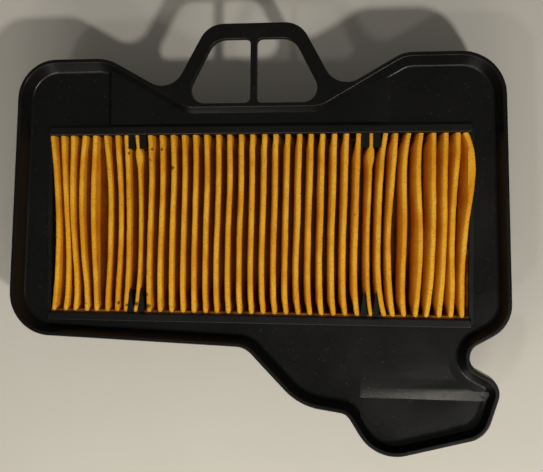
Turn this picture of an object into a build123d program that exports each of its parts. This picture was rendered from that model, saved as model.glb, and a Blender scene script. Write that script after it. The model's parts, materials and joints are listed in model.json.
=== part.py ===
from build123d import *
import math
import os

# Panel air filter element for a motorcycle: a moulded tray with a pull handle carries a
# rectangular housing, and a pleated paper element is bonded into that housing.
# Millimetres. +X runs along the row of pleats, +Y points to the pull handle and +Z points
# out of the open face of the tray. The origin is the middle of the outline, on the plane
# that the housing stands on.

# ---- Driving sizes -------------------------------------------------------------------------

# Housing and its opening
opening_length = 155.6  # clear inside, along X
opening_width = 66.8  # clear inside, along Y
housing_long_wall = 2.0
housing_end_wall = 1.6
rail_length = 157.0  # raised strips along the two long sides
rail_width = 3.0
rail_height = 1.5  # above the tray floor
rail_edge_radius = 0.4
gate_pad_length = 9.5  # where the plastic entered, one pad on each rail
gate_pad_width = 1.8
gate_pad_height = 0.25
rib_height = 3.0  # cross ribs under the pleats
rib_width = 3.0

# Pleated element
pleat_count = 37
paper_thickness = 0.6
fold_half_width = 0.75  # centreline of the paper, from the middle of a fold
fold_radius = 0.7
pinched_fold_half_width = 0.4  # fold between the two tabs of a pair
pinched_fold_radius = 0.35
pleat_depth = 23.4  # over the folds
outer_folds = 8  # between a pair of spacer tabs and the end of the element

# Tray
floor_thickness = 2.5
rim_height = 4.5  # above the floor
rim_land = 1.4  # flat top of the rim
rim_slope = 2.8  # run of the sloped inner wall
rim_foot_radius = 1.2
rim_edge_radius = 0.35
raised_zone_height = 1.5  # middle of the upper floor
raised_zone_left_ramp = 1.5
raised_zone_right_ramp = 5.0
raised_zone_radius = 1.0
lobe_drop = 1.5  # deepest part of the locating lobe, below the floor
lobe_slope = 1.1  # run of its steeper wall
lobe_wall_shelf = 0.5  # the steeper wall ends this far below the rim top
lobe_step = 0.5
lobe_step_margin = 3.3  # step to the foot of the rim
lobe_step_run = 6.5
lobe_facet_run = 3.6
lobe_facet_radius = 0.8
ejector_mark_radius = 2.2
ejector_mark_depth = 0.25
collar_depth = 8.0  # skirt under the tray that holds the housing
collar_wall = 2.0
collar_corner_radius = 3.0
gusset_width = 2.0
side_gusset_reach = 6.0
end_gusset_reach = 4.5
gusset_height = 6.0

# Pull handle
handle_thickness = 2.6
handle_root_width = 61.6
handle_top_width = 33.9
handle_rise = 29.1  # from the waist of the tray to the top of the strap
handle_corner_radius = 9.6
handle_root_radius = 8.5
handle_root_height = 3.7  # where the outer edge of a leg meets the shoulder
grip_bottom_width = 53.4
grip_top_width = 29.0
grip_height = 23.4
grip_bottom_radius = 5.2
grip_top_radius = 7.0
grip_bar_width = 2.3
grip_bar_radius = 2.0

# Spacer tabs
tab_width = 2.6  # at the top
tab_depth = 8.0
tab_length = 5.2
tab_point_length = 8.6  # the pointed tabs on the lower side
tab_point_width = 0.6
spacer_from_left_end = 33.4  # middle of the left pair of tabs to the end of the opening
spacer_from_right_end = 35.1

# Seal
gasket_width = 3.2
gasket_thickness = 3.0
gasket_inset = 0.7  # from the outline of the tray

# Named clearances
housing_clearance = 0.1  # housing wall to tray
tab_clearance = 0.15  # tab to paper, each side
end_bond = 0.6  # glue line between the end pleats and the end walls
edge_bond = 0.8  # glue line between the ends of the pleats and the long walls
rib_gap = 0.4  # cross ribs to the folds above them
fold_recess = 0.7  # folds below the tops of the rails
tab_recess = 0.2  # tops of the spacer tabs below the folds
rail_groove = 0.8  # rail to the raised zone of the floor
gasket_gap = 0.4  # gasket to the deeper underside of the lobe
bond_below_folds = 1.6  # top of the glue lines below the folds
cut_through = 1.0  # how far a cutting solid runs past a face

# ---- Levels and widths worked out from them ------------------------------------------------

half_length = opening_length / 2
half_width = opening_width / 2
pleat_bottom = rib_height + rib_gap
pleat_top = pleat_bottom + pleat_depth
rail_top = pleat_top + fold_recess
tab_top_level = pleat_top - tab_recess
tray_floor_level = rail_top - rail_height
tray_underside = tray_floor_level - floor_thickness
rim_top = tray_floor_level + rim_height
handle_underside = rim_top - handle_thickness
housing_half_length = half_length + housing_end_wall
housing_half_width = half_width + housing_long_wall
rim_band = rim_land + rim_slope
rim_angle = math.degrees(math.atan2(rim_slope, rim_height))
lobe_wall_height = rim_height + lobe_drop - lobe_wall_shelf
lobe_wall_inset = rim_land + rim_slope * lobe_wall_shelf / rim_height + lobe_slope
lobe_angle = math.degrees(math.atan2(lobe_slope, lobe_wall_height))
gasket_underside = tray_underside - gasket_thickness
waist = half_width + 10.9  # edge of the tray under the pull handle
shoulder = half_width + 28.1
raised_zone_left = -half_length + 23.5
raised_zone_right = half_length - 33.5
lobe_left = half_length - 38.3
lobe_step_edge = -half_width - 15.7
lobe_facet_edge = -half_width - 25.6
lobe_floor = tray_floor_level - lobe_drop

floor_cut = tray_floor_level - cut_through
collar_side = housing_half_width + housing_clearance + collar_wall
collar_end = housing_half_length + housing_clearance + collar_wall
side_gussets = [-half_length + 10, -half_length + 22, half_length - 22, half_length - 10]
end_gussets = [-18.0, 0.0, 18.0]

# Middles of the ejector marks, with the level of the floor they are in
ejector_marks = [
    ((half_length - 4.7, -half_width - 37.4), lobe_floor),
    ((lobe_left + 6.2, -half_width - 37.6), lobe_floor),
    ((half_length + 3.4, -half_width + 11.6), tray_floor_level),
    ((-half_length - 4.7, half_width + 16.9), tray_floor_level),
    ((half_length + 4.7, half_width + 17.9), tray_floor_level),
    ((half_length - 62.3, -half_width - 14.8), tray_floor_level),
]
gate_pads = [
    (half_length - 34.0, half_width + rail_width / 2),
    (half_length - 36.6, -half_width - rail_width / 2),
]

# Outline of the tray, clockwise from its upper left shoulder: corner and rounding
tray_outline_corners = [
    ((-half_length - 11.6, shoulder), 15.0),
    ((-half_length + 22.8, shoulder), 16.0),
    ((-half_length + 53.4, waist), 8.0),
    ((half_length - 53.6, waist), 8.0),
    ((half_length - 23.6, shoulder + 0.2), 12.0),
    ((half_length + 11.8, shoulder + 0.2), 16.0),
    ((half_length + 14.7, -half_width - 1.8), 13.0),
    # notch between the plate and the locating lobe
    ((half_length - 5.7, -half_width - 13.3), 5.3),
    # locating lobe
    ((half_length + 11.7, -half_width - 22.5), 6.5),
    ((half_length + 5.8, -half_width - 41.1), 10.0),
    ((half_length - 32.4, -half_width - 51.3), 15.0),
    ((half_length - 43.1, -half_width - 34.4), 5.0),
    ((half_length - 60.2, -half_width - 32.0), 22.0),
    ((half_length - 80.2, -half_width - 11.4), 8.0),
    # lower left corner
    ((-half_length - 15.3, -half_width - 8.1), 16.0),
]
tray_corners = [corner for corner, radius in tray_outline_corners]
tray_radii = [radius for corner, radius in tray_outline_corners]

# The handle is a trapezoid whose legs are run on down into the tray
leg_lean = (handle_root_width - handle_top_width) / 2 / (handle_rise - handle_root_height)
leg_run_on = 8.0
leg_foot_half = handle_root_width / 2 + leg_lean * leg_run_on
leg_foot_level = waist + handle_root_height - leg_run_on
strap_top = waist + handle_rise
grip_top = waist + grip_height


def spread(first, last, count):
    """Evenly spaced places from first to last."""
    return [first + (last - first) * number / (count - 1) for number in range(count)]


# The element has a group of folds at each end, a pinched fold between the two tabs of each
# pair, and the rest of the folds between the pairs
fold_outer_half = fold_half_width + paper_thickness / 2
pinched_outer_half = pinched_fold_half_width + paper_thickness / 2
left_pair = -half_length + spacer_from_left_end
right_pair = half_length - spacer_from_right_end
tab_offset = pinched_outer_half + tab_clearance + tab_width / 2  # pinched fold to tab
fold_offset = tab_offset + tab_width / 2 + tab_clearance + fold_outer_half
end_fold = half_length - end_bond - fold_outer_half
folds = spread(-end_fold, left_pair - fold_offset, outer_folds)
folds.append(left_pair)
folds += spread(left_pair + fold_offset, right_pair - fold_offset, pleat_count - 2 * outer_folds - 2)
folds.append(right_pair)
folds += spread(right_pair + fold_offset, end_fold, outer_folds)
valleys = [(left + right) / 2 for left, right in zip(folds, folds[1:])]
spacer_places = [pair + offset for pair in (left_pair, right_pair) for offset in (-tab_offset, tab_offset)]
rib_places = [left_pair, right_pair]

# A tab narrows downwards like the valley it stands in
flank_slope = (fold_offset / 2 - 2 * fold_half_width) / (pleat_depth - paper_thickness)
tab_foot_width = tab_width - 2 * tab_depth * max(flank_slope, 0)
tab_section = [
    (-tab_width / 2, tab_top_level),
    (tab_width / 2, tab_top_level),
    (tab_foot_width / 2, tab_top_level - tab_depth),
    (-tab_foot_width / 2, tab_top_level - tab_depth),
]


def paper_face(facing):
    """Corners and roundings of one face of the paper: facing is 1 for the top and -1 for below."""
    skin = facing * paper_thickness / 2
    high = pleat_top - paper_thickness / 2 + skin
    low = pleat_bottom + paper_thickness / 2 + skin
    corners = [(folds[0] - fold_half_width - skin, pleat_bottom)]
    radii = [0.0]
    for number, fold_at in enumerate(folds):
        pinched = fold_at in (left_pair, right_pair)
        half = (pinched_fold_half_width if pinched else fold_half_width) + skin
        radius = (pinched_fold_radius if pinched else fold_radius) + skin
        corners += [(fold_at - half, high), (fold_at + half, high)]
        radii += [radius, radius]
        if number < len(valleys):
            bend = fold_half_width - skin
            corners += [(valleys[number] - bend, low), (valleys[number] + bend, low)]
            radii += 2 * [fold_radius - skin]
    corners.append((folds[-1] + fold_half_width + skin, pleat_bottom))
    radii.append(0.0)
    return corners, radii


# ---- Base planes -----------------------------------------------------------------------------

with BuildSketch() as tray_outline:
    with BuildLine():
        FilletPolyline(*tray_corners, radius=tray_radii, close=True)
    make_face()

# Inner edge of the gasket
with BuildSketch() as gasket_inside:
    add(tray_outline.sketch)
    offset(amount=-gasket_inset - gasket_width)

# Tray and handle together: the legs run on into the tray and their roots are rounded
with BuildSketch() as handle_outline:
    with BuildLine():
        FilletPolyline(
            (-leg_foot_half, leg_foot_level),
            (-handle_top_width / 2, strap_top),
            (handle_top_width / 2, strap_top),
            (leg_foot_half, leg_foot_level),
            radius=[0.0, handle_corner_radius, handle_corner_radius, 0.0],
            close=True,
        )
    make_face()
    with BuildLine():
        FilletPolyline(*tray_corners, radius=tray_radii, close=True)
    make_face()
    leg_roots = handle_outline.vertices().filter_by(
        lambda corner: waist + 1 < corner.Y < waist + 8 and abs(corner.X) < leg_foot_half
    )
    fillet(leg_roots, radius=handle_root_radius)

middle = handle_outline.sketch.bounding_box().center()
base = Plane(origin=(-middle.X, -middle.Y, 0))
# Profiles seen from the front are drawn on front, profiles seen from the right on side
front = Plane(origin=base.origin, x_dir=(1, 0, 0), z_dir=(0, -1, 0))
side = Plane(origin=base.origin, x_dir=(0, 1, 0), z_dir=(1, 0, 0))

# ---- Tray with its rim and pull handle, one moulding -------------------------------------------

# The hollow inside the rim: sloped walls, a flat floor and a rounded foot
with BuildPart() as tray_hollow:
    with BuildSketch(base.offset(tray_floor_level)):
        add(tray_outline.sketch)
        offset(amount=-rim_band)
    extrude(amount=rim_height, taper=-rim_angle)
    fillet(tray_hollow.faces().sort_by(Axis.Z)[0].edges(), radius=rim_foot_radius)
    # The middle of the upper floor stands higher, with a ramp at each end
    raised_zone_start = half_width + rail_width + rail_groove
    with BuildSketch(front.offset(-raised_zone_start)):
        with BuildLine():
            FilletPolyline(
                (raised_zone_left - raised_zone_left_ramp - 2 * raised_zone_radius, floor_cut),
                (raised_zone_left - raised_zone_left_ramp - 2 * raised_zone_radius, tray_floor_level),
                (raised_zone_left - raised_zone_left_ramp, tray_floor_level),
                (raised_zone_left, tray_floor_level + raised_zone_height),
                (raised_zone_right, tray_floor_level + raised_zone_height),
                (raised_zone_right + raised_zone_right_ramp, tray_floor_level),
                (raised_zone_right + raised_zone_right_ramp + 2 * raised_zone_radius, tray_floor_level),
                (raised_zone_right + raised_zone_right_ramp + 2 * raised_zone_radius, floor_cut),
                radius=[0.0, 0.0] + 4 * [raised_zone_radius] + [0.0, 0.0],
                close=True,
            )
        make_face()
    extrude(amount=-handle_rise, mode=Mode.SUBTRACT)

# The locating lobe has a shallow step in its floor, bounded by its own line inside the rim
with BuildPart() as lobe_step_hollow:
    with BuildSketch(base.offset(tray_floor_level)):
        add(tray_outline.sketch)
        offset(amount=-rim_band - lobe_step_margin)
    extrude(amount=-lobe_step)
    with BuildSketch(side.offset(lobe_left)):
        with BuildLine():
            Polyline(
                (lobe_step_edge, tray_floor_level),
                (lobe_step_edge - lobe_step_run, tray_floor_level - lobe_step),
                (lobe_facet_edge - lobe_facet_run, tray_floor_level - lobe_step),
                (lobe_facet_edge - lobe_facet_run, tray_floor_level),
                close=True,
            )
        make_face()
    extrude(amount=half_length, mode=Mode.INTERSECT)

# Below the step a facet leads down to a flat pocket with steeper walls
with BuildPart() as lobe_pocket:
    with BuildSketch(base.offset(lobe_floor)):
        add(tray_outline.sketch)
        offset(amount=-lobe_wall_inset)
    extrude(amount=lobe_wall_height, taper=-lobe_angle)
    fillet(lobe_pocket.faces().sort_by(Axis.Z)[0].edges(), radius=rim_foot_radius)
    with BuildSketch(side.offset(lobe_left)):
        with BuildLine():
            FilletPolyline(
                (lobe_facet_edge, tray_floor_level + cut_through),
                (lobe_facet_edge, tray_floor_level - lobe_step),
                (lobe_facet_edge - lobe_facet_run, lobe_floor),
                (lobe_facet_edge - half_width, lobe_floor),
                (lobe_facet_edge - half_width, rim_top),
                (lobe_facet_edge - lobe_facet_run, rim_top),
                radius=[0.0, 0.0, lobe_facet_radius, 0.0, 0.0, 0.0],
                close=True,
            )
        make_face()
    extrude(amount=half_length, mode=Mode.INTERSECT)

# Collar that holds the housing, with gussets to the underside of the tray
with BuildPart() as collar:
    with BuildSketch(base.offset(tray_underside - collar_depth)):
        RectangleRounded(
            2 * (housing_half_length + housing_clearance + collar_wall),
            2 * (housing_half_width + housing_clearance + collar_wall),
            collar_corner_radius,
        )
    extrude(amount=collar_depth)
    for gusset_at in side_gussets:
        with BuildSketch(side.offset(gusset_at - gusset_width / 2)):
            with BuildLine():
                Polyline(
                    (collar_side, tray_underside),
                    (collar_side + side_gusset_reach, tray_underside),
                    (collar_side, tray_underside - gusset_height),
                    close=True,
                )
            make_face()
        extrude(amount=gusset_width)
    for gusset_at in end_gussets:
        with BuildSketch(front.offset(gusset_at - gusset_width / 2)):
            with BuildLine():
                Polyline(
                    (collar_end, tray_underside),
                    (collar_end + end_gusset_reach, tray_underside),
                    (collar_end, tray_underside - gusset_height),
                    close=True,
                )
            make_face()
            mirror(about=Plane.YZ)
        extrude(amount=gusset_width)
    # All of it stays inside the gasket
    with BuildSketch(base.offset(tray_underside - collar_depth)):
        add(gasket_inside.sketch)
    extrude(amount=collar_depth, mode=Mode.INTERSECT)

with BuildPart() as carrier_frame:
    with BuildSketch(base.offset(tray_underside)):
        add(tray_outline.sketch)
    extrude(amount=rim_top - tray_underside)
    with BuildSketch(base.offset(handle_underside)):
        add(handle_outline.sketch)
    extrude(amount=handle_thickness)
    # Under the lobe the floor steps down too, clear of the gasket
    with BuildSketch(base.offset(lobe_floor - floor_thickness)):
        add(tray_outline.sketch)
        offset(amount=-gasket_inset - gasket_width - gasket_gap)
        with Locations((lobe_left - floor_thickness, lobe_facet_edge)):
            Rectangle(opening_length, opening_width, align=(Align.MIN, Align.MAX), mode=Mode.INTERSECT)
    extrude(amount=lobe_drop)
    add(tray_hollow.part, mode=Mode.SUBTRACT)
    add(lobe_step_hollow.part, mode=Mode.SUBTRACT)
    add(lobe_pocket.part, mode=Mode.SUBTRACT)
    # Two finger openings with a thin bar between them
    with BuildSketch(base.offset(tray_underside)):
        with BuildLine():
            FilletPolyline(
                (grip_bar_width / 2, waist),
                (grip_bottom_width / 2, waist),
                (grip_top_width / 2, grip_top),
                (grip_bar_width / 2, grip_top),
                radius=[grip_bar_radius, grip_bottom_radius, grip_top_radius, grip_bar_radius],
                close=True,
            )
        make_face()
        mirror(about=Plane.YZ)
    extrude(amount=rim_top - tray_underside, mode=Mode.SUBTRACT)
    fillet(carrier_frame.faces().sort_by(Axis.Z)[-1].edges(), radius=rim_edge_radius)
    add(collar.part)
    # Opening for the housing, through the floor and the collar
    with BuildSketch(base.offset(tray_underside - collar_depth)):
        Rectangle(
            2 * (housing_half_length + housing_clearance),
            2 * (housing_half_width + housing_clearance),
        )
    extrude(amount=collar_depth + floor_thickness + cut_through, mode=Mode.SUBTRACT)
    # Round marks that the ejector pins left
    for mark, level in ejector_marks:
        with BuildSketch(base.offset(level)):
            with Locations(mark):
                Circle(ejector_mark_radius)
        extrude(amount=-ejector_mark_depth, mode=Mode.SUBTRACT)
carrier_frame.part.label = "carrier_frame"

# ---- Housing of the pleats: a box open at both ends, with rails, spacer tabs and cross ribs -----

# Spacer tabs taper like the valley they stand in
with BuildPart() as square_tab:
    with BuildSketch(front.offset(-half_width)):
        with BuildLine():
            Polyline(*tab_section, close=True)
        make_face()
    extrude(amount=tab_length)

with BuildPart() as pointed_tab:
    with BuildSketch(front.offset(half_width)):
        with BuildLine():
            Polyline(*tab_section, close=True)
        make_face()
    extrude(amount=-tab_point_length)
    with BuildSketch(base.offset(tab_top_level - tab_depth)):
        with BuildLine():
            Polyline(
                (-tab_width / 2, -half_width),
                (tab_width / 2, -half_width),
                (tab_point_width / 2, tab_point_length - half_width),
                (-tab_point_width / 2, tab_point_length - half_width),
                close=True,
            )
        make_face()
    extrude(amount=tab_depth, mode=Mode.INTERSECT)

with BuildPart() as element_housing:
    with BuildSketch(base):
        Rectangle(2 * housing_half_length, 2 * housing_half_width)
        Rectangle(opening_length, opening_width, mode=Mode.SUBTRACT)
    extrude(amount=tray_floor_level)
    with BuildSketch(base.offset(tray_floor_level)):
        with GridLocations(0, opening_width + rail_width, 1, 2):
            Rectangle(rail_length, rail_width)
    extrude(amount=rail_height)
    fillet(element_housing.faces().filter_by(Axis.Z).group_by(Axis.Z)[-1].edges(), rail_edge_radius)
    with BuildSketch(base.offset(rail_top)):
        with Locations(*gate_pads):
            Rectangle(gate_pad_length, gate_pad_width)
    extrude(amount=gate_pad_height)
    with BuildSketch(base):
        with Locations(*[(place, 0) for place in rib_places]):
            Rectangle(rib_width, opening_width)
    extrude(amount=rib_height)
    for place in spacer_places:
        with Locations((place, 0, 0)):
            add(square_tab.part)
            add(pointed_tab.part)
element_housing.part.label = "element_housing"

# ---- Pleated paper --------------------------------------------------------------------------------

upper_corners, upper_radii = paper_face(1)
lower_corners, lower_radii = paper_face(-1)
with BuildPart() as pleated_element:
    with BuildSketch(front):
        with BuildLine():
            FilletPolyline(
                *upper_corners,
                *reversed(lower_corners),
                radius=upper_radii + lower_radii[::-1],
                close=True,
            )
        make_face()
    extrude(amount=half_width - edge_bond, both=True)
pleated_element.part.label = "pleated_element"

# ---- Glue lines between the paper and the housing ---------------------------------------------------

bond_height = pleat_depth - bond_below_folds
with BuildPart() as upper_edge_bond:
    with BuildSketch(base.offset(pleat_bottom)):
        with Locations((0, half_width)):
            Rectangle(opening_length, edge_bond, align=(Align.CENTER, Align.MAX))
    extrude(amount=bond_height)
    add(element_housing.part, mode=Mode.SUBTRACT)
upper_edge_bond.part.label = "upper_edge_bond"

with BuildPart() as lower_edge_bond:
    with BuildSketch(base.offset(pleat_bottom)):
        with Locations((0, -half_width)):
            Rectangle(opening_length, edge_bond, align=(Align.CENTER, Align.MIN))
    extrude(amount=bond_height)
    add(element_housing.part, mode=Mode.SUBTRACT)
lower_edge_bond.part.label = "lower_edge_bond"

with BuildPart() as left_end_bond:
    with BuildSketch(base.offset(pleat_bottom)):
        with Locations((-half_length, 0)):
            Rectangle(end_bond, opening_width - 2 * edge_bond, align=(Align.MIN, Align.CENTER))
    extrude(amount=bond_height)
left_end_bond.part.label = "left_end_bond"

with BuildPart() as right_end_bond:
    with BuildSketch(base.offset(pleat_bottom)):
        with Locations((half_length, 0)):
            Rectangle(end_bond, opening_width - 2 * edge_bond, align=(Align.MAX, Align.CENTER))
    extrude(amount=bond_height)
right_end_bond.part.label = "right_end_bond"

# ---- Foam gasket under the rim ------------------------------------------------------------------------

with BuildPart() as rim_gasket:
    with BuildSketch(base.offset(gasket_underside)):
        add(tray_outline.sketch)
        offset(amount=-gasket_inset)
        add(gasket_inside.sketch, mode=Mode.SUBTRACT)
    extrude(amount=gasket_thickness)
rim_gasket.part.label = "rim_gasket"

os.makedirs("parts", exist_ok=True)
export_step(carrier_frame.part, "parts/carrier_frame.step")
export_step(element_housing.part, "parts/element_housing.step")
export_step(pleated_element.part, "parts/pleated_element.step")
export_step(upper_edge_bond.part, "parts/upper_edge_bond.step")
export_step(lower_edge_bond.part, "parts/lower_edge_bond.step")
export_step(left_end_bond.part, "parts/left_end_bond.step")
export_step(right_end_bond.part, "parts/right_end_bond.step")
export_step(rim_gasket.part, "parts/rim_gasket.step")
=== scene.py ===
"""Panel air filter for a motorcycle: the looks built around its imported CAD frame."""

import json
import logging
import math
from dataclasses import dataclass, field
from enum import Enum
from typing import Any, Callable

import bpy
import numpy as np
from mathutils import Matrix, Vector, noise

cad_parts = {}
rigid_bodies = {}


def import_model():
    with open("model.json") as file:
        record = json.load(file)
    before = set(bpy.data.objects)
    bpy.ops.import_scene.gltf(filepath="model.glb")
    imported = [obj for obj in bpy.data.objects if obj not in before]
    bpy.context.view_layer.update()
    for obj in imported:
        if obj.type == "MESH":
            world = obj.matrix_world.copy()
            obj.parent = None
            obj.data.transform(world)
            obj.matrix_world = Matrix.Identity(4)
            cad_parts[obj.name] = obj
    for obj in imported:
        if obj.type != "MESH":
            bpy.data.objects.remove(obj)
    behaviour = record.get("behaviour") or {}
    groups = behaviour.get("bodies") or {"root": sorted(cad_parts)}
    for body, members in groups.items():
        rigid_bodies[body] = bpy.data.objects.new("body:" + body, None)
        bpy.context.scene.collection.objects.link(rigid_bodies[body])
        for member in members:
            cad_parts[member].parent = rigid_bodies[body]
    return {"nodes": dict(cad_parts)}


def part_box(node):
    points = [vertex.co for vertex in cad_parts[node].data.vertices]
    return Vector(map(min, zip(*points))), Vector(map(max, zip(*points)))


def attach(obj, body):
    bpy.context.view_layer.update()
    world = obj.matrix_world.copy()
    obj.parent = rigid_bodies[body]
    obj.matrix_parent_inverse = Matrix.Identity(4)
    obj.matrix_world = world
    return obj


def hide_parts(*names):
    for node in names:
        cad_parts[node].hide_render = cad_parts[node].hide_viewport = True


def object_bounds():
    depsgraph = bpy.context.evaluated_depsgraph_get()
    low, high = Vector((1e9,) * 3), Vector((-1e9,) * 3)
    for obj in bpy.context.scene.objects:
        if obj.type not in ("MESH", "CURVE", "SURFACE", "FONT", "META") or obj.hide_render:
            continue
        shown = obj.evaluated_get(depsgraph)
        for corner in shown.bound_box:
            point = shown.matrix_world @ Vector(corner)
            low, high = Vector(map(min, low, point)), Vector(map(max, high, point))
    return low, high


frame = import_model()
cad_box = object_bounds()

MM = 0.001
BODY = "root"
MERGE_DISTANCE = 0.002 * MM  # joins the corners that the CAD's triangles repeat
TOUCHING = 1e-6  # metres, heights this close count as the same
SRGB_KNEE = 0.04045  # below it, sRGB is a straight line
log = logging.getLogger("air_filter")


# ---- Small tools -----------------------------------------------------------------------


class Wall(Enum):
    """The four inner walls of the housing."""

    UPPER = "upper_edge_bond"
    LOWER = "lower_edge_bond"
    LEFT = "left_end_bond"
    RIGHT = "right_end_bond"

    @property
    def is_long(self) -> bool:
        """True for the two walls along the row of pleats."""
        return self in (Wall.UPPER, Wall.LOWER)

    @property
    def outward(self) -> float:
        """Sign of the direction from the paper to the wall."""
        return 1.0 if self in (Wall.UPPER, Wall.RIGHT) else -1.0


def linear(hex_colour: str) -> tuple[float, float, float, float]:
    """Turns an sRGB hex colour into linear light.

    Args:
        hex_colour: colour such as "#d9a028".

    Returns:
        Red, green, blue and alpha.
    """
    values = [int(hex_colour[at : at + 2], 16) / 255 for at in (1, 3, 5)]
    red, green, blue = [
        value / 12.92 if value <= SRGB_KNEE else ((value + 0.055) / 1.055) ** 2.4
        for value in values
    ]
    return red, green, blue, 1.0


def per_size(millimetres: float) -> float:
    """Scale of a pattern on Object coordinates whose features are this large."""
    return 1.0 / (millimetres * MM)


def smooth_step(value: np.ndarray | float, start: float, end: float) -> np.ndarray:
    """Eases from 0 at start to 1 at end."""
    share = np.clip((np.asarray(value, float) - start) / (end - start), 0.0, 1.0)
    return share * share * (3.0 - 2.0 * share)


def deselect_all() -> None:
    """Leaves nothing selected, in object mode."""
    if bpy.context.object is not None and bpy.context.object.mode != "OBJECT":
        bpy.ops.object.mode_set(mode="OBJECT")
    for piece in bpy.context.scene.objects:
        piece.select_set(False)


def activate(piece: bpy.types.Object) -> None:
    """Makes a piece the only selected and the active one."""
    deselect_all()
    piece.select_set(True)
    bpy.context.view_layer.objects.active = piece


def new_from_active(name: str) -> bpy.types.Object:
    """Names the primitive that was just added, and puts its place into its mesh."""
    piece = bpy.context.object
    piece.name = name
    piece.data.name = name
    bpy.ops.object.transform_apply(location=True, rotation=True, scale=True)
    return piece


def apply_modifier(piece: bpy.types.Object, kind: str, **settings: Any) -> None:
    """Adds a modifier and applies it.

    Args:
        piece: object to change.
        kind: Blender's name of the modifier type.
        settings: values of its properties.
    """
    activate(piece)
    modifier = piece.modifiers.new(kind.title(), kind)
    for key, value in settings.items():
        setattr(modifier, key, value)
    bpy.ops.object.modifier_apply(modifier=modifier.name)


def select_edges(piece: bpy.types.Object, chosen: Callable[[Vector, Vector], bool]) -> None:
    """Selects, in edit mode, the edges that a test on their two ends accepts.

    Args:
        piece: mesh object.
        chosen: test on the places of an edge's ends.
    """
    activate(piece)
    bpy.ops.object.mode_set(mode="EDIT")
    bpy.ops.mesh.select_mode(type="EDGE")
    bpy.ops.mesh.select_all(action="DESELECT")
    bpy.ops.object.mode_set(mode="OBJECT")
    points = piece.data.vertices
    for edge in piece.data.edges:
        first, second = (points[index].co for index in edge.vertices)
        edge.select = chosen(first, second)
    bpy.ops.object.mode_set(mode="EDIT")


def places(piece: bpy.types.Object) -> np.ndarray:
    """The places of a mesh's points, one row each, in metres."""
    flat = np.empty(len(piece.data.vertices) * 3)
    piece.data.vertices.foreach_get("co", flat)
    return flat.reshape(-1, 3)


def set_places(piece: bpy.types.Object, points: np.ndarray) -> None:
    """Moves a mesh's points to these places."""
    piece.data.vertices.foreach_set("co", np.asarray(points, np.float32).ravel())
    piece.data.update()


def shade(piece: bpy.types.Object, degrees: float) -> None:
    """Shades a piece smooth, apart from edges sharper than an angle."""
    activate(piece)
    bpy.ops.object.shade_smooth_by_angle(angle=math.radians(degrees))


def merged_copy(node: str, name: str) -> bpy.types.Object:
    """Copies a CAD node's mesh and joins its loose triangles.

    Args:
        node: name of the CAD node.
        name: name of the new piece.

    Returns:
        The copy, a new object with its own mesh.
    """
    source = frame["nodes"][node]
    piece = bpy.data.objects.new(name, source.data.copy())
    piece.data.name = name
    piece.data.materials.clear()
    bpy.context.scene.collection.objects.link(piece)
    activate(piece)
    bpy.ops.mesh.customdata_custom_splitnormals_clear()
    bpy.ops.object.mode_set(mode="EDIT")
    bpy.ops.mesh.select_all(action="SELECT")
    bpy.ops.mesh.remove_doubles(threshold=MERGE_DISTANCE)
    bpy.ops.object.mode_set(mode="OBJECT")
    return piece


def settle(piece: bpy.types.Object, finish: bpy.types.Material, slot: str, *nodes: str) -> None:
    """Dresses a finished piece and ties it to the frame.

    Args:
        piece: the finished mesh object.
        finish: its material.
        slot: the record's material slot that the finish stands for; not used.
        nodes: CAD nodes that the piece replaces.
    """
    piece.data.materials.clear()
    piece.data.materials.append(finish)
    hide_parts(*nodes)
    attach(piece, BODY)
    log.info("%s: %d faces", piece.name, len(piece.data.polygons))


def add_node(
    tree: bpy.types.NodeTree,
    kind: str,
    inputs: dict[str | int, Any] | None = None,
    **settings: Any,
) -> bpy.types.Node:
    """Adds a node with its settings and links.

    Args:
        tree: node tree that gets the node.
        kind: Blender's name of the node type.
        inputs: for each input, its value, or the output socket that is linked to it.
        settings: values of the node's own properties.

    Returns:
        The new node.
    """
    node = tree.nodes.new(kind)
    for key, value in settings.items():
        setattr(node, key, value)
    for key, value in (inputs or {}).items():
        if isinstance(value, bpy.types.NodeSocket):
            tree.links.new(value, node.inputs[key])
        else:
            node.inputs[key].default_value = value
    return node


def new_tree(name: str) -> tuple[bpy.types.Material, bpy.types.NodeTree, bpy.types.NodeSocket]:
    """Makes an empty material.

    Args:
        name: name of the material.

    Returns:
        The material, its node tree, and the socket with Object coordinates.
    """
    material = bpy.data.materials.new(name)
    material.use_nodes = True
    tree = material.node_tree
    tree.nodes.clear()
    coordinates = add_node(tree, "ShaderNodeTexCoord").outputs["Object"]
    return material, tree, coordinates


# ---- Finishes --------------------------------------------------------------------------


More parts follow.
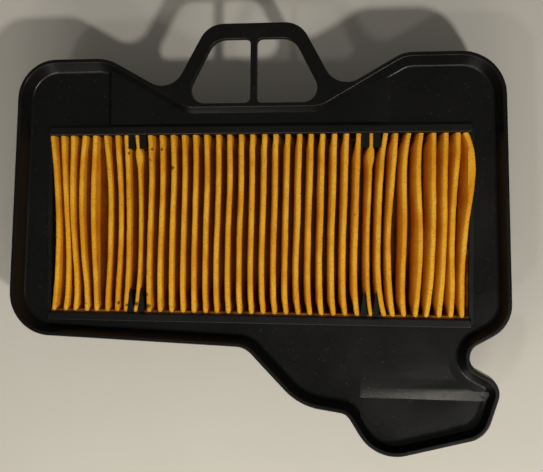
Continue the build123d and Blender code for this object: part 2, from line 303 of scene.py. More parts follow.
@dataclass(frozen=True)
class MouldedPolypropylene:
    """Carbon black polypropylene, injection moulded in a spark-eroded steel mould.

    To the eye it is nearly black, with a fine even grain that spreads a highlight into a soft
    grey sheen, a few rubbed streaks, and pale dust that settles on what faces up.
    """

    name: str
    colour: str
    deep_colour: str
    worn_colour: str
    roughness: float = 0.32
    roughness_spread: float = 0.06
    refraction: float = 1.49
    specular: float = 0.3
    grain: float = 0.45  # millimetres, coarser than the real 0.1 mm so that it shows
    grain_height: float = 0.008  # millimetres
    sheen_patch: float = 22.0  # millimetres
    sheen_range: tuple[float, float] = (0.3, 0.7)
    streak_size: tuple[float, float, float] = (9.0, 0.5, 3.0)  # millimetres
    streak_turn: float = 0.6  # radians
    streak_range: tuple[float, float] = (0.66, 0.82)
    wear: float = 0.16
    wear_roughness: float = 0.35
    speck: float = 0.55  # millimetres
    speck_range: tuple[float, float] = (0.72, 0.78)
    facing_range: tuple[float, float] = (0.6, 0.95)  # of the normal's upward part
    dust: float = 0.2
    dust_colour: str = "#8c877c"

    def build(self) -> bpy.types.Material:
        """Builds the material."""
        material, tree, at = new_tree(self.name)
        grain = add_node(
            tree, "ShaderNodeTexNoise", {"Vector": at, "Scale": per_size(self.grain), "Detail": 3.0}
        ).outputs["Fac"]
        patches = add_node(
            tree,
            "ShaderNodeTexNoise",
            {"Vector": at, "Scale": per_size(self.sheen_patch), "Detail": 3.0},
        ).outputs["Fac"]
        stretched = add_node(
            tree,
            "ShaderNodeMapping",
            {
                "Vector": at,
                "Rotation": (0.0, 0.0, self.streak_turn),
                "Scale": tuple(per_size(size) for size in self.streak_size),
            },
        ).outputs["Vector"]
        streaks = add_node(
            tree, "ShaderNodeTexNoise", {"Vector": stretched, "Scale": 1.0, "Detail": 2.0}
        ).outputs["Fac"]
        rubbed = add_node(
            tree,
            "ShaderNodeMapRange",
            {
                "Value": streaks,
                "From Min": self.streak_range[0],
                "From Max": self.streak_range[1],
                "To Max": self.wear,
            },
            interpolation_type="SMOOTHSTEP",
        ).outputs["Result"]
        specks = add_node(
            tree, "ShaderNodeTexNoise", {"Vector": at, "Scale": per_size(self.speck), "Detail": 1.0}
        ).outputs["Fac"]
        specks = add_node(
            tree,
            "ShaderNodeMapRange",
            {
                "Value": specks,
                "From Min": self.speck_range[0],
                "From Max": self.speck_range[1],
                "To Max": self.dust,
            },
            interpolation_type="SMOOTHSTEP",
        ).outputs["Result"]
        normal = add_node(tree, "ShaderNodeNewGeometry").outputs["Normal"]
        up = add_node(tree, "ShaderNodeSeparateXYZ", {"Vector": normal}).outputs["Z"]
        facing_up = add_node(
            tree,
            "ShaderNodeMapRange",
            {"Value": up, "From Min": self.facing_range[0], "From Max": self.facing_range[1]},
            interpolation_type="SMOOTHSTEP",
        ).outputs["Result"]
        settled = add_node(
            tree, "ShaderNodeMath", {0: specks, 1: facing_up}, operation="MULTIPLY"
        ).outputs["Value"]
        body = add_node(
            tree,
            "ShaderNodeMix",
            {0: patches, 6: linear(self.deep_colour), 7: linear(self.colour)},
            data_type="RGBA",
        ).outputs[2]
        body = add_node(
            tree,
            "ShaderNodeMix",
            {0: rubbed, 6: body, 7: linear(self.worn_colour)},
            data_type="RGBA",
        ).outputs[2]
        body = add_node(
            tree,
            "ShaderNodeMix",
            {0: settled, 6: body, 7: linear(self.dust_colour)},
            data_type="RGBA",
        ).outputs[2]
        rough = add_node(
            tree,
            "ShaderNodeMapRange",
            {
                "Value": patches,
                "From Min": self.sheen_range[0],
                "From Max": self.sheen_range[1],
                "To Min": self.roughness - self.roughness_spread,
                "To Max": self.roughness + self.roughness_spread,
            },
        ).outputs["Result"]
        rough = add_node(
            tree,
            "ShaderNodeMath",
            {0: rubbed, 1: self.wear_roughness, 2: rough},
            operation="MULTIPLY_ADD",
        ).outputs["Value"]
        bump = add_node(
            tree,
            "ShaderNodeBump",
            {"Height": grain, "Strength": 1.0, "Distance": self.grain_height * MM},
        ).outputs["Normal"]
        shader = add_node(
            tree,
            "ShaderNodeBsdfPrincipled",
            {
                "Base Color": body,
                "Roughness": rough,
                "IOR": self.refraction,
                "Specular IOR Level": self.specular,
                "Normal": bump,
            },
        ).outputs["BSDF"]
        add_node(tree, "ShaderNodeOutputMaterial", {"Surface": shader})
        return material


@dataclass(frozen=True)
class Stain:
    """A brown spot of dried glue on the folds. Millimetres from the middle of the row."""

    x: float
    y: float
    radius: float


@dataclass(frozen=True)
class ResinedPaper:
    """Cellulose filter paper, soaked in phenolic resin and cured, which turns it amber.

    To the eye it is matt and golden on the folds, deepens to orange and brown where light only
    reaches it from its neighbours, and has a felted fibre texture with a few dark specks.
    """

    name: str = "resined_filter_paper"
    colour: str = "#edb22f"
    deep_colour: str = "#da9114"
    felt_colour: str = "#b46c08"
    felt: float = 0.55
    felt_range: tuple[float, float] = (0.46, 0.66)
    speck_colour: str = "#2c1604"
    speck: float = 0.8  # millimetres
    speck_range: tuple[float, float] = (0.74, 0.8)
    fibre: float = 0.7  # millimetres, coarser than the real 0.05 mm so that it shows
    fibre_height: float = 0.05  # millimetres
    cloud: float = 12.0  # millimetres
    cloud_range: tuple[float, float] = (0.3, 0.75)
    roughness: float = 0.85
    refraction: float = 1.4
    specular: float = 0.25
    stains: tuple[Stain, ...] = (
        Stain(-50.9, -29.6, 0.9),
        Stain(-47.9, -30.4, 0.8),
        Stain(-39.8, -30.6, 1.3),
        Stain(-40.2, -26.4, 0.7),
        Stain(-44.3, -29.8, 1.1),
        Stain(-47.4, 26.6, 0.8),
        Stain(-38.7, 27.9, 0.7),
        Stain(-34.9, 27.9, 0.75),
        Stain(-39.2, 23.9, 0.6),
        Stain(-31.0, 20.9, 1.0),
    )
    stain_level: float = 26.4  # millimetres above the part's foot
    stain_strength: float = 0.85
    stain_core: float = 0.5  # share of the radius that is evenly dark
    stain_edge: float = 0.9  # millimetres, size of the bays in its edge
    stain_stray: float = 1.2  # millimetres, how far its edge strays
    middle: tuple[float, float] = (0.0, 0.0)  # metres

    def build(self) -> bpy.types.Material:
        """Builds the material."""
        material, tree, at = new_tree(self.name)
        fibres = add_node(
            tree,
            "ShaderNodeTexNoise",
            {"Vector": at, "Scale": per_size(self.fibre), "Detail": 4.0, "Roughness": 0.65},
        ).outputs["Fac"]
        clouds = add_node(
            tree, "ShaderNodeTexNoise", {"Vector": at, "Scale": per_size(self.cloud), "Detail": 2.0}
        ).outputs["Fac"]
        flecks = add_node(
            tree, "ShaderNodeTexNoise", {"Vector": at, "Scale": per_size(self.speck), "Detail": 1.0}
        ).outputs["Fac"]
        flecks = add_node(
            tree,
            "ShaderNodeMapRange",
            {"Value": flecks, "From Min": self.speck_range[0], "From Max": self.speck_range[1]},
            interpolation_type="SMOOTHSTEP",
        ).outputs["Result"]
        toned = add_node(
            tree,
            "ShaderNodeMapRange",
            {"Value": clouds, "From Min": self.cloud_range[0], "From Max": self.cloud_range[1]},
            interpolation_type="SMOOTHSTEP",
        ).outputs["Result"]
        felt = add_node(
            tree,
            "ShaderNodeMapRange",
            {
                "Value": fibres,
                "From Min": self.felt_range[0],
                "From Max": self.felt_range[1],
                "To Max": self.felt,
            },
            interpolation_type="SMOOTHSTEP",
        ).outputs["Result"]
        body = add_node(
            tree,
            "ShaderNodeMix",
            {0: toned, 6: linear(self.colour), 7: linear(self.deep_colour)},
            data_type="RGBA",
        ).outputs[2]
        body = add_node(
            tree,
            "ShaderNodeMix",
            {0: felt, 6: body, 7: linear(self.felt_colour)},
            data_type="RGBA",
        ).outputs[2]
        body = add_node(
            tree,
            "ShaderNodeMix",
            {0: flecks, 6: body, 7: linear(self.speck_colour)},
            data_type="RGBA",
        ).outputs[2]
        ragged = add_node(
            tree, "ShaderNodeTexNoise", {"Vector": at, "Scale": per_size(self.stain_edge)}
        ).outputs["Color"]
        wander = add_node(
            tree,
            "ShaderNodeVectorMath",
            {0: ragged, 1: (self.stain_stray * MM, self.stain_stray * MM, 0.0), 2: at},
            operation="MULTIPLY_ADD",
        ).outputs["Vector"]
        mean_stray = self.stain_stray / 2 * MM
        for stain in self.stains:
            centre = (
                stain.x * MM + self.middle[0] + mean_stray,
                stain.y * MM + self.middle[1] + mean_stray,
                self.stain_level * MM,
            )
            reach = add_node(
                tree, "ShaderNodeVectorMath", {0: wander, 1: centre}, operation="DISTANCE"
            ).outputs["Value"]
            inside = add_node(
                tree,
                "ShaderNodeMapRange",
                {
                    "Value": reach,
                    "From Min": self.stain_core * stain.radius * MM,
                    "From Max": stain.radius * MM,
                    "To Min": self.stain_strength,
                    "To Max": 0.0,
                },
            ).outputs["Result"]
            body = add_node(
                tree,
                "ShaderNodeMix",
                {0: inside, 6: body, 7: linear(self.speck_colour)},
                data_type="RGBA",
            ).outputs[2]
        bump = add_node(
            tree,
            "ShaderNodeBump",
            {"Height": fibres, "Strength": 1.0, "Distance": self.fibre_height * MM},
        ).outputs["Normal"]
        shader = add_node(
            tree,
            "ShaderNodeBsdfPrincipled",
            {
                "Base Color": body,
                "Roughness": self.roughness,
                "IOR": self.refraction,
                "Specular IOR Level": self.specular,
                "Normal": bump,
            },
        ).outputs["BSDF"]
        add_node(tree, "ShaderNodeOutputMaterial", {"Surface": shader})
        return material


@dataclass(frozen=True)
class SetGlue:
    """Hot-melt glue, poured and set: glossy amber, browner where it is thick."""

    name: str = "set_amber_glue"
    colour: str = "#b87412"
    thick_colour: str = "#6e3a06"
    cloud: float = 3.5  # millimetres
    cloud_range: tuple[float, float] = (0.35, 0.65)
    ripple_strength: float = 0.6
    ripple_height: float = 0.1  # millimetres
    roughness: float = 0.4
    refraction: float = 1.48
    skin: float = 0.15  # of gloss on its surface
    skin_roughness: float = 0.15

    def build(self) -> bpy.types.Material:
        """Builds the material."""
        material, tree, at = new_tree(self.name)
        clouds = add_node(
            tree, "ShaderNodeTexNoise", {"Vector": at, "Scale": per_size(self.cloud), "Detail": 3.0}
        ).outputs["Fac"]
        thick = add_node(
            tree,
            "ShaderNodeMapRange",
            {"Value": clouds, "From Min": self.cloud_range[0], "From Max": self.cloud_range[1]},
            interpolation_type="SMOOTHSTEP",
        ).outputs["Result"]
        body = add_node(
            tree,
            "ShaderNodeMix",
            {0: thick, 6: linear(self.colour), 7: linear(self.thick_colour)},
            data_type="RGBA",
        ).outputs[2]
        bump = add_node(
            tree,
            "ShaderNodeBump",
            {
                "Height": clouds,
                "Strength": self.ripple_strength,
                "Distance": self.ripple_height * MM,
            },
        ).outputs["Normal"]
        shader = add_node(
            tree,
            "ShaderNodeBsdfPrincipled",
            {
                "Base Color": body,
                "Roughness": self.roughness,
                "IOR": self.refraction,
                "Coat Weight": self.skin,
                "Coat Roughness": self.skin_roughness,
                "Normal": bump,
            },
        ).outputs["BSDF"]
        add_node(tree, "ShaderNodeOutputMaterial", {"Surface": shader})
        return material


@dataclass(frozen=True)
class CellularFoam:
    """Black closed-cell foam, cut from sheet: dull, with open cells on its cut sides, their pits
    painted darker as shade.
    """

    name: str = "closed_cell_foam"
    colour: str = "#1b1b1c"
    # colour of the pits of the open cells: painted shade, darker than the foam around them
    pit_shade_colour: str = "#060606"
    cell: float = 0.7  # millimetres
    cell_range: tuple[float, float] = (0.15, 0.55)
    cell_depth: float = 0.12  # millimetres
    roughness: float = 0.92
    refraction: float = 1.5
    specular: float = 0.3

    def build(self) -> bpy.types.Material:
        """Builds the material."""
        material, tree, at = new_tree(self.name)
        cells = add_node(
            tree, "ShaderNodeTexVoronoi", {"Vector": at, "Scale": per_size(self.cell)}
        ).outputs["Distance"]
        pit_depth_and_shade = add_node(
            tree,
            "ShaderNodeMapRange",
            {"Value": cells, "From Min": self.cell_range[0], "From Max": self.cell_range[1]},
            interpolation_type="SMOOTHSTEP",
        ).outputs["Result"]
        # painted shade: the pits of the open cells get the darker colour; the same mask also sinks
        # them in the bump
        body = add_node(
            tree,
            "ShaderNodeMix",
            {0: pit_depth_and_shade, 6: linear(self.pit_shade_colour), 7: linear(self.colour)},
            data_type="RGBA",
        ).outputs[2]
        bump = add_node(
            tree,
            "ShaderNodeBump",
            {"Height": pit_depth_and_shade, "Strength": 1.0, "Distance": self.cell_depth * MM},
        ).outputs["Normal"]
        shader = add_node(
            tree,
            "ShaderNodeBsdfPrincipled",
            {
                "Base Color": body,
                "Roughness": self.roughness,
                "IOR": self.refraction,
                "Specular IOR Level": self.specular,
                "Normal": bump,
            },
        ).outputs["BSDF"]
        add_node(tree, "ShaderNodeOutputMaterial", {"Surface": shader})
        return material


@dataclass(frozen=True)
class MattBoard:
    """Painted board under the part: pale warm grey, matt, faintly uneven."""

    name: str = "painted_board"
    colour: str = "#ccc8bf"
    uneven_colour: str = "#c6c2b8"
    cloud: float = 40.0  # millimetres
    roughness: float = 0.9
    specular: float = 0.2

    def build(self) -> bpy.types.Material:
        """Builds the material."""
        material, tree, at = new_tree(self.name)
        clouds = add_node(
            tree, "ShaderNodeTexNoise", {"Vector": at, "Scale": per_size(self.cloud), "Detail": 4.0}
        ).outputs["Fac"]
        body = add_node(
            tree,
            "ShaderNodeMix",
            {0: clouds, 6: linear(self.colour), 7: linear(self.uneven_colour)},
            data_type="RGBA",
        ).outputs[2]
        shader = add_node(
            tree,
            "ShaderNodeBsdfPrincipled",
            {
                "Base Color": body,
                "Roughness": self.roughness,
                "Specular IOR Level": self.specular,
            },
        ).outputs["BSDF"]
        add_node(tree, "ShaderNodeOutputMaterial", {"Surface": shader})
        return material


# ---- Moulded pieces --------------------------------------------------------------------


@dataclass
class Moulding:
    """A moulded piece: the CAD shape with its fillets shaded round and its flats kept flat."""

    node: str
    name: str
    slot: str
    finish: MouldedPolypropylene
    smooth_angle: float = 40.0  # degrees

    def build(self) -> bpy.types.Object:
        """Builds and dresses the piece."""
        piece = merged_copy(self.node, self.name)
        shade(piece, self.smooth_angle)
        apply_modifier(piece, "WEIGHTED_NORMAL", keep_sharp=True, weight=100)
        settle(piece, self.finish.build(), self.slot, self.node)
        return piece


# ---- Pleated paper ---------------------------------------------------------------------


@dataclass(frozen=True)
class FoldLine:
    """How the top of one fold wanders from wall to wall.

    The places are along the row, in millimetres from its middle, at the stations of the sheet
    from the pull handle's side to the lobe's side.
    """

    places: tuple[float, ...]


@dataclass(frozen=True)
class FoldNoise:
    """A repeatable unevenness along the folds, from -1 to 1. It needs no seed."""

    fold_step: float  # how far apart two neighbouring folds are in the noise
    length: float  # millimetres
    layer: float

    def at(self, fold: int, across: float) -> float:
        """Unevenness of one fold at a place from wall to wall."""
        return noise.noise(Vector((fold * self.fold_step, across / self.length, self.layer)))


@dataclass
class PleatedSheet:
    """The paper: one sheet in 37 folds, of which the outer ones lean and wave. Millimetres."""

    node: str = "pleated_element"
    stations: tuple[float, ...] = (31.0, 14.0, -2.0, -16.0, -31.0)
    left_folds: tuple[FoldLine, ...] = (
        FoldLine((-77.5, -75.9, -75.1, -75.2, -76.3)),
        FoldLine((-73.5, -72.5, -71.5, -71.0, -71.8)),
        FoldLine((-69.7, -69.8, -69.2, -68.0, -67.9)),
        FoldLine((-65.3, -66.2, -65.8, -64.6, -63.6)),
        FoldLine((-61.0, -61.5, -61.4, -60.7, -59.8)),
        FoldLine((-56.4, -54.9, -54.5, -54.9, -55.5)),
        FoldLine((-52.2, -50.9, -50.5, -51.0, -51.7)),
        FoldLine((-48.6, -47.8, -47.5, -47.6, -48.3)),
        FoldLine((-44.4, -43.2, -43.0, -43.2, -44.4)),
    )
    right_folds: tuple[FoldLine, ...] = (
        FoldLine((42.7, 42.2, 41.7, 41.6, 42.7)),
        FoldLine((47.5, 46.0, 45.5, 45.5, 47.3)),
        FoldLine((51.4, 50.1, 49.2, 49.4, 50.6)),
        FoldLine((55.7, 54.7, 54.8, 54.4, 54.5)),
        FoldLine((60.2, 59.8, 60.4, 60.2, 58.9)),
        FoldLine((64.9, 65.1, 65.1, 64.7, 63.0)),
        FoldLine((69.2, 69.2, 69.1, 68.6, 67.4)),
        FoldLine((73.6, 72.6, 71.8, 71.8, 71.4)),
        FoldLine((77.2, 78.6, 76.4, 75.4, 75.3)),
    )
    even_folds: int = 19
    first_even: tuple[float, ...] = (-39.5, -39.0, -39.4, -39.7, -39.5)
    last_even: tuple[float, ...] = (38.1, 37.7, 37.3, 37.1, 37.8)
    line_degree: int = 4  # of the curve through the stations
    wander: float = 0.2  # how far a fold strays from its line
    wander_noise: FoldNoise = FoldNoise(3.7, 17.0, 0.5)
    tab_looseness: float = 0.4  # share of it that the folds beside the tabs are left
    tab_folds: tuple[int, ...] = (7, 8, 9, 27, 28, 29)
    pinched_folds: tuple[int, ...] = (8, 28)
    thickness: float = 0.6
    fold_half: float = 0.6
    pinched_half: float = 0.42
    flared_half: float = 1.05  # of the pinched folds, just past the tabs
    flare_from: float = 28.4
    flare_rise: float = 1.6  # after this length the flare is full
    flare_hold: float = 3.0  # after this length it starts to fade
    flare_to: float = 20.0
    tip_height: float = 0.36  # flattened: a fold is creased, not rolled
    crest_drop: float = 0.12  # mean height of a crease below the top of the box
    crest_lift: float = 0.16  # how unevenly the creases stand
    crest_noise: FoldNoise = FoldNoise(5.1, 11.0, 3.5)
    end_narrowing: float = 0.2  # of a fold, where it meets the lobe's side
    end_narrowing_length: float = 1.0
    end_sink: float = 0.35  # of a crease, where it meets the lobe's side
    end_sink_length: float = 0.8
    end_valley: float = 2.1  # from the outermost feet to the end valleys
    foot_evenness: float = 0.5  # 0 is straight under the tops, 1 is an even row
    bow: float = 1.64  # how far the middle of a flank hangs towards -X
    bow_from: float = 1.0  # distance from the glue at which the bow starts to grow
    bow_to: float = 5.0
    tab_bow_to: float = 9.0
    glued_bow: float = 0.45  # share of the bow that is there at the glue
    end_bow: float = 0.25  # share of the bow beside the -X wall
    end_bow_length: float = 9.0
    end_wall: float = 0.6  # the end walls stand this far outside the box
    wall_gap: float = 0.4  # middle of the paper to the end walls
    wall_level: float = 26.05  # top of the end walls
    handle_side_reach: float = 0.6  # how far the ends stand in the glue
    lobe_side_reach: float = 0.15
    crinkle: float = 0.09
    crinkle_length: float = 3.1
    smooth_angle: float = 60.0  # degrees
    rows: int = 46
    crowding: float = 0.35  # of the rows towards the ends
    crowding_power: float = 2.2
    flank_depths: tuple[float, ...] = (0.03, 0.09, 0.18, 0.32, 0.55, 0.8)
    tip_angles: tuple[float, ...] = (180.0, 142.0, 108.0, 72.0, 38.0, 0.0)
    valley_angles: tuple[float, ...] = (180.0, 90.0, 0.0)

    def __post_init__(self) -> None:
        """Reads the box that the sheet fills."""
        low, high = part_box(self.node)
        self.middle_x = (low.x + high.x) / 2 / MM
        self.middle_y = (low.y + high.y) / 2 / MM
        self.half_x = (high.x - low.x) / 2 / MM
        self.half_y = (high.y - low.y) / 2 / MM
        self.bottom = low.z / MM
        self.top = high.z / MM

    def fold_tops(self, across: np.ndarray) -> np.ndarray:
        """Places of the tops of all folds.

        Args:
            across: places from wall to wall, from the middle.

        Returns:
            One row per place, one column per fold, from the middle of the row.
        """
        shares = np.linspace(0.0, 1.0, self.even_folds)[:, None]
        even = (1 - shares) * np.array(self.first_even) + shares * np.array(self.last_even)
        table = np.vstack(
            [
                [line.places for line in self.left_folds],
                even,
                [line.places for line in self.right_folds],
            ]
        )
        fits = [np.polyfit(self.stations, line, self.line_degree) for line in table]
        curves = np.stack([np.polyval(fit, across) for fit in fits], 1)
        for fold in range(curves.shape[1]):
            loose = self.tab_looseness if fold in self.tab_folds else 1.0
            for row, place in enumerate(across):
                drift = self.wander_noise.at(fold, place)
                curves[row, fold] += loose * self.wander * drift
        return curves

    def fold_feet(self) -> np.ndarray:
        """Places of the folds on the underside, between those of their tops and an even row."""
        left = [np.mean(line.places) for line in self.left_folds]
        right = [np.mean(line.places) for line in self.right_folds]
        even = np.linspace(np.mean(self.first_even), np.mean(self.last_even), self.even_folds)
        tops = np.concatenate([left, even, right])
        ideal = np.linspace(tops[0], tops[-1], len(tops))
        return (1 - self.foot_evenness) * tops + self.foot_evenness * ideal

    def profile(self, tops: np.ndarray, feet: np.ndarray, across: float) -> np.ndarray:
        """Line of the folded sheet on one cut from end to end.

        Args:
            tops: places of the tops of the folds on this cut.
            feet: places of the same folds on the underside.
            across: place of the cut, from the middle.

        Returns:
            Points (x, z), from the left end to the right end.
        """
        reach = self.handle_side_reach if across > 0 else self.lobe_side_reach
        edge = self.half_y + reach - abs(across)
        points = []
        depth = self.top - self.bottom - self.thickness
        valleys = (feet[:-1] + feet[1:]) / 2
        first, last = feet[0] - self.end_valley, feet[-1] + self.end_valley
        valleys = np.concatenate([[first], valleys, [last]])
        for fold, top_x in enumerate(tops):
            half = self.fold_half
            if fold in self.pinched_folds:
                past = smooth_step(across, self.flare_from, self.flare_from - self.flare_rise)
                held = smooth_step(across, self.flare_to, self.flare_from - self.flare_hold)
                flare = float(past * held)
                half = self.pinched_half + (self.flared_half - self.pinched_half) * flare
            lift = self.crest_lift * self.crest_noise.at(fold, across)
            sink = 0.0
            if across < 0:
                narrowing = float(smooth_step(edge, self.end_narrowing_length, 0.0))
                half *= 1.0 - self.end_narrowing * narrowing
                sink = self.end_sink * float(smooth_step(edge, self.end_sink_length, 0.0)) ** 2
            crest = self.top - self.thickness / 2 - self.crest_drop + lift - sink
            start, bow_to = self.glued_bow, self.bow_to
            if fold in self.tab_folds:
                start, bow_to = 0.0, self.tab_bow_to
            grown = float(smooth_step(edge, self.bow_from, bow_to))
            hang = self.bow * (start + (1 - start) * grown)
            hang *= min(1.0, max(self.end_bow, (top_x + self.half_x) / self.end_bow_length))
            height = min(self.tip_height, half)
            for side in (-1.0, 1.0):
                foot, shares = valleys[fold + 1] - self.fold_half, self.flank_depths
                if side < 0:
                    foot, shares = valleys[fold] + self.fold_half, self.flank_depths[::-1]
                flank = [
                    (
                        (1 - share) * (top_x + side * half) + share * foot
                        - hang * math.sin(math.pi * share),
                        crest - height - share * (depth - height - self.fold_half),
                    )
                    for share in shares
                ]
                tip = [
                    (
                        top_x + half * math.cos(math.radians(angle)),
                        crest - height + height * math.sin(math.radians(angle)),
                    )
                    for angle in self.tip_angles
                ]
                points += flank + tip if side < 0 else flank
            if fold < len(tops) - 1:
                points += [
                    (
                        valleys[fold + 1] - self.fold_half * math.cos(math.radians(180.0 - angle)),
                        self.bottom + self.thickness / 2 + self.fold_half
                        - self.fold_half * math.sin(math.radians(angle)),
                    )
                    for angle in self.valley_angles
                ]
        line = np.array(points)
        limit = self.half_x + self.end_wall - self.wall_gap
        free = line[:, 1] > self.wall_level
        line[:, 0] = np.where(free, line[:, 0], np.clip(line[:, 0], -limit, limit))
        return line

    def build(self, finish: ResinedPaper) -> bpy.types.Object:
        """Builds the sheet.

        Args:
            finish: the paper's finish.

        Returns:
            The finished piece.
        """
        shares = np.linspace(-1.0, 1.0, self.rows + 1)
        spread = np.abs(shares)
        eased = (1 + self.crowding) * spread - self.crowding * spread**self.crowding_power
        eased *= np.sign(shares)
        ends = np.where(shares > 0, self.handle_side_reach, self.lobe_side_reach)
        across = eased * (self.half_y + ends)
        tops, feet = self.fold_tops(across), self.fold_feet()
        lines = np.stack([self.profile(tops[row], feet, across[row]) for row in range(len(across))])
        columns = lines.shape[1] - 1
        deselect_all()
        bpy.ops.mesh.primitive_grid_add(
            x_subdivisions=columns, y_subdivisions=self.rows, size=1.0, location=(0.0, 0.0, 0.0)
        )
        sheet = new_from_active("pleated_paper")
        flat = places(sheet)
        column = np.rint((flat[:, 0] + 0.5) * columns).astype(int)
        row = np.rint((flat[:, 1] + 0.5) * self.rows).astype(int)
        folded = np.empty_like(flat)
        folded[:, 0] = lines[row, column, 0] + self.middle_x
        folded[:, 1] = across[row] + self.middle_y
        folded[:, 2] = lines[row, column, 1]
        for index, point in enumerate(folded):
            drift = noise.noise(Vector(point) / self.crinkle_length)
            folded[index, 0] += self.crinkle * drift
        set_places(sheet, folded * MM)
        apply_modifier(sheet, "SOLIDIFY", thickness=self.thickness * MM, offset=0.0)
        activate(sheet)
        bpy.ops.object.mode_set(mode="EDIT")
        bpy.ops.mesh.select_all(action="SELECT")
        bpy.ops.mesh.normals_make_consistent(inside=False)
        bpy.ops.object.mode_set(mode="OBJECT")
        shade(sheet, self.smooth_angle)
        settle(sheet, finish.build(), "filter_paper", self.node)
        return sheet


# ---- Glue lines ------------------------------------------------------------------------


@dataclass
class GlueLine:
    """A bead of glue between the paper and one wall of the housing. Millimetres."""

    wall: Wall
    pitch: float = 1.05  # spacing of its cross-sections
    swell: float = 0.3  # how unevenly its top stands
    swell_length: float = 2.3
    swell_row: float = 0.7  # where in the noise the bead lies
    swell_layer: float = 5.0  # how far apart the beads of facing walls are in the noise
    rise: float = 0.0  # its top above that of its CAD solid
    reach: float = 0.35  # how far it wets the paper
    fall: float = 0.3  # its edge at the paper below its edge at the wall
    softening: float = 0.22
    softening_angle: float = 0.8  # radians
    smooth_angle: float = 50.0  # degrees

    def build(self, finish: bpy.types.Material) -> bpy.types.Object:
        """Builds the bead.

        Args:
            finish: the glue's material.

        Returns:
            The finished piece.
        """
        node = self.wall.value
        low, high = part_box(node)
        size = high - low
        deselect_all()
        bpy.ops.mesh.primitive_cube_add(size=1.0, location=(low + high) / 2, scale=size)
        bead = new_from_active(node + "_bead")
        along = 0 if self.wall.is_long else 1
        select_edges(bead, lambda a, b: abs(a[along] - b[along]) > size[along] / 2)
        bpy.ops.mesh.subdivide(number_cuts=round(size[along] / (self.pitch * MM)))
        bpy.ops.object.mode_set(mode="OBJECT")
        points = places(bead)
        top = points[:, 2] > high.z - TOUCHING
        inner = points[:, 1 - along] * self.wall.outward < (
            (low[1 - along] + high[1 - along]) / 2 * self.wall.outward
        )
        for index in np.flatnonzero(top):
            place = points[index, along] / MM / self.swell_length
            layer = self.wall.outward * self.swell_layer
            wave = noise.noise(Vector((place, self.swell_row, layer)))
            fall = self.fall if inner[index] else 0.0
            points[index, 2] += (self.swell * wave + self.rise - fall) * MM
        points[inner, 1 - along] -= self.wall.outward * self.reach * MM
        set_places(bead, points)
        apply_modifier(
            bead,
            "BEVEL",
            width=self.softening * MM,
            segments=2,
            angle_limit=self.softening_angle,
        )
        shade(bead, self.smooth_angle)
        settle(bead, finish, "bonding_glue", node)
        return bead


# ---- Foam gasket -----------------------------------------------------------------------


@dataclass
class FoamGasket:
    """The foam ring under the rim: a closed form with rounded, uneven edges. Millimetres."""

    node: str = "rim_gasket"
    voxel: float = 0.42
    rounding: float = 0.5
    flat_angle: float = 1.0  # degrees, faces that bend less are joined
    sharp_angle: float = 60.0  # degrees, edges that bend more are rounded
    unevenness: float = 0.06
    unevenness_length: float = 1.7
    seed: int = 7  # of the unevenness, which is otherwise drawn from the clock
    headroom: float = 0.01  # under the rim
    fill: float = 0.9

    def build(self, finish: CellularFoam) -> bpy.types.Object:
        """Builds the ring.

        Args:
            finish: the foam's finish.

        Returns:
            The finished piece.
        """
        ring = merged_copy(self.node, "foam_gasket")
        low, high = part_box(self.node)
        activate(ring)
        bpy.ops.object.mode_set(mode="EDIT")
        bpy.ops.mesh.select_all(action="SELECT")
        bpy.ops.mesh.dissolve_limited(angle_limit=math.radians(self.flat_angle))
        bpy.ops.object.mode_set(mode="OBJECT")
        apply_modifier(
            ring,
            "BEVEL",
            width=self.rounding * MM,
            segments=3,
            angle_limit=math.radians(self.sharp_angle),
        )
        apply_modifier(ring, "REMESH", mode="VOXEL", voxel_size=self.voxel * MM)
        apply_modifier(ring, "SMOOTH", factor=0.5, iterations=3)
        points = places(ring)
        noise.seed_set(self.seed)
        for index, point in enumerate(points):
            drift = noise.noise_vector(Vector(point) / (self.unevenness_length * MM))
            points[index] += np.array(drift) * self.unevenness * MM
        points[:, 2] = np.clip(points[:, 2], low.z, high.z - self.headroom * MM)
        set_places(ring, points)
        shade(ring, 180.0)
        settle(ring, finish.build(), "gasket_foam", self.node)
        return ring


# ---- Studio ----------------------------------------------------------------------------


@dataclass(frozen=True)
class SoftBox:
    """A soft box lamp. Direction is from the part, sizes are in metres, power is in watts."""

    name: str
    direction: tuple[float, float, float]
    distance: float
    width: float
    power: float
    colour: str
    slimness: float = 1.0  # height over width

    def build(self, target: Vector) -> None:
        """Hangs the lamp so that it faces a point."""
        lamp = bpy.data.lights.new(self.name, "AREA")
        lamp.shape = "ELLIPSE"
        lamp.size = self.width
        lamp.size_y = self.width * self.slimness
        lamp.energy = self.power
        lamp.color = linear(self.colour)[:3]
        holder = bpy.data.objects.new(self.name, lamp)
        bpy.context.scene.collection.objects.link(holder)
        holder.location = target + Vector(self.direction).normalized() * self.distance
        aim = target - holder.location
        holder.rotation_euler = aim.to_track_quat("-Z", "Y").to_euler()


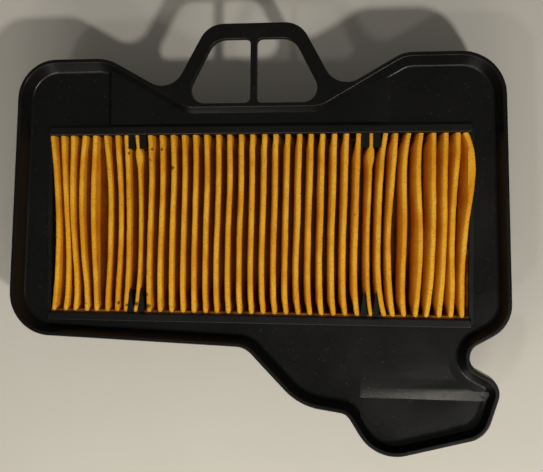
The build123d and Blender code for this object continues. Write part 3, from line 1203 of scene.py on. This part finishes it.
@dataclass
class Studio:
    """Floor, lamps, room light and camera."""

    floor_half: float = 1.6
    floor_gap: float = 0.1 * MM  # under the part's foot
    room_colour: str = "#e9e6e0"
    room_strength: float = 0.2
    lamps: tuple[SoftBox, ...] = (
        SoftBox("right_lamp", (0.62, -0.61, 1.0), 0.66, 0.045, 2.05, "#fffcf5"),
        SoftBox("left_lamp", (-0.38, -0.66, 1.0), 1.8, 0.16, 2.5, "#fffcf5"),
        SoftBox("low_lamp", (-0.3, -0.9, 0.45), 0.45, 0.2, 0.72, "#fffcf5"),
        SoftBox("near_lamp", (0.5, -0.9, 1.0), 0.4, 0.25, 0.12, "#fffcf5"),
        SoftBox("front_strip", (0.15, -0.93, 1.0), 0.66, 0.2, 0.4, "#fff6e4", slimness=0.15),
    )
    eye: tuple[float, float, float] = (0.05223, -0.00202, 0.3534)
    aim: tuple[float, float, float] = (-0.1378, 0.0071, -0.9904)
    sideways: tuple[float, float, float] = (0.9904, 0.0083, -0.1378)
    lens: float = 59.67  # millimetres, as is the sensor
    sensor: float = 36.0
    near_clip: float = 0.01
    floor_finish: MattBoard = field(default_factory=MattBoard)

    def build_floor(self) -> None:
        """Lays the floor just under the part."""
        deselect_all()
        bpy.ops.mesh.primitive_grid_add(
            x_subdivisions=8,
            y_subdivisions=8,
            size=2 * self.floor_half,
            location=(0.0, 0.0, -self.floor_gap),
        )
        floor = new_from_active("studio_floor")
        floor.data.materials.append(self.floor_finish.build())

    def build_room(self) -> None:
        """Fills the room with even light."""
        world = bpy.data.worlds.new("studio_room")
        world.use_nodes = True
        background = world.node_tree.nodes["Background"]
        background.inputs["Color"].default_value = linear(self.room_colour)
        background.inputs["Strength"].default_value = self.room_strength
        bpy.context.scene.world = world

    def build_camera(self) -> None:
        """Sets the camera above the open side of the tray."""
        data = bpy.data.cameras.new("studio_camera")
        data.lens = self.lens
        data.sensor_width = self.sensor
        data.clip_start = self.near_clip
        camera = bpy.data.objects.new("studio_camera", data)
        bpy.context.scene.collection.objects.link(camera)
        back = -Vector(self.aim).normalized()
        right = Vector(self.sideways)
        up = back.cross(right).normalized()
        right = up.cross(back).normalized()
        camera.location = self.eye
        rotation = camera.matrix_world.to_3x3()
        for row in range(3):
            rotation[row][0], rotation[row][1], rotation[row][2] = right[row], up[row], back[row]
        camera.rotation_euler = rotation.to_euler()
        bpy.context.scene.camera = camera

    def build(self) -> None:
        """Builds the whole studio."""
        low, high = cad_box
        target = Vector(((low.x + high.x) / 2, (low.y + high.y) / 2, low.z))
        self.build_floor()
        for lamp in self.lamps:
            lamp.build(target)
        self.build_room()
        self.build_camera()
        bpy.context.scene.view_settings.view_transform = "Standard"


# ---- The whole part --------------------------------------------------------------------


def main() -> None:
    """Builds every sub-assembly in order, then the studio."""
    logging.basicConfig(level=logging.INFO, format="%(name)s %(message)s")
    tray_plastic = MouldedPolypropylene("black_polypropylene_tray", "#090909", "#060606", "#1c1c1b")
    housing_plastic = MouldedPolypropylene(
        "black_polypropylene_housing", "#0a0a0a", "#070707", "#1f1f1e", roughness=0.42
    )
    Moulding("carrier_frame", "tray_with_handle", "tray_plastic", tray_plastic).build()
    Moulding("element_housing", "pleat_housing", "housing_plastic", housing_plastic).build()
    sheet = PleatedSheet()
    sheet.build(ResinedPaper(middle=(sheet.middle_x * MM, sheet.middle_y * MM)))
    glue = SetGlue().build()
    rises = {Wall.UPPER: -14.0, Wall.LOWER: 1.0, Wall.LEFT: -3.0, Wall.RIGHT: -3.0}
    for wall, rise in rises.items():
        GlueLine(wall, rise=rise).build(glue)
    FoamGasket().build(CellularFoam())
    Studio().build()


if __name__ == "__main__":
    main()
